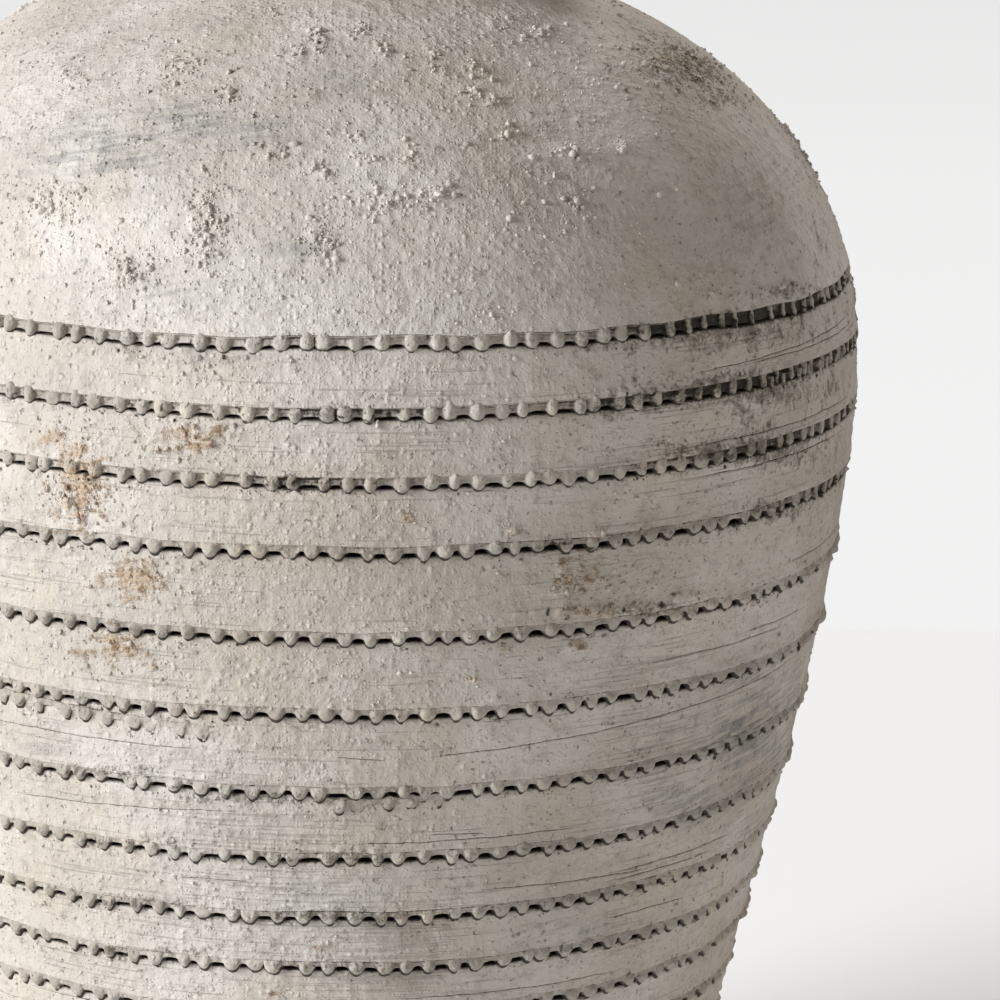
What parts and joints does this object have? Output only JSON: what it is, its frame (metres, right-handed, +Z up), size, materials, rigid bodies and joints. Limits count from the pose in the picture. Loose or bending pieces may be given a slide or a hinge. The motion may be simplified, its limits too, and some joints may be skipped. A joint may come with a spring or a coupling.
{
  "type": "pithos storage jar",
  "caption": "Tall coil-built earthenware jar with a full shoulder, a narrow rolled mouth and rows of clay beads in the grooves between its courses, with a worn limewash finish.",
  "frame": {"origin": "centre of the foot, on the surface that the jar stands on", "axes": "+Z up along the jar's axis; -Y is the side that the picture shows"},
  "size_m": [0.402, 0.4018, 0.561],
  "materials": {
    "limewashed_clay": "matt, gritty, worn limewash",
    "bead_clay": "matt, dirt in the hollows"
  },
  "bodies": {
    "root": {"base_slab": "limewashed_clay", "foot_course": "limewashed_clay", "body_course_01": "limewashed_clay", "body_course_02": "limewashed_clay", "body_course_03": "limewashed_clay", "body_course_04": "limewashed_clay", "body_course_05": "limewashed_clay", "body_course_06": "limewashed_clay", "body_course_07": "limewashed_clay", "body_course_08": "limewashed_clay", "body_course_09": "limewashed_clay", "body_course_10": "limewashed_clay", "body_course_11": "limewashed_clay", "body_course_12": "limewashed_clay", "body_course_13": "limewashed_clay", "lower_shoulder": "limewashed_clay", "middle_shoulder": "limewashed_clay", "upper_shoulder": "limewashed_clay", "neck": "limewashed_clay", "rim": "limewashed_clay", "bead_band_01": "bead_clay", "bead_band_02": "bead_clay", "bead_band_03": "bead_clay", "bead_band_04": "bead_clay", "bead_band_05": "bead_clay", "bead_band_06": "bead_clay", "bead_band_07": "bead_clay", "bead_band_08": "bead_clay", "bead_band_09": "bead_clay", "bead_band_10": "bead_clay", "bead_band_11": "bead_clay", "bead_band_12": "bead_clay", "bead_band_13": "bead_clay", "bead_band_14": "bead_clay"}
  },
  "joints": []
}
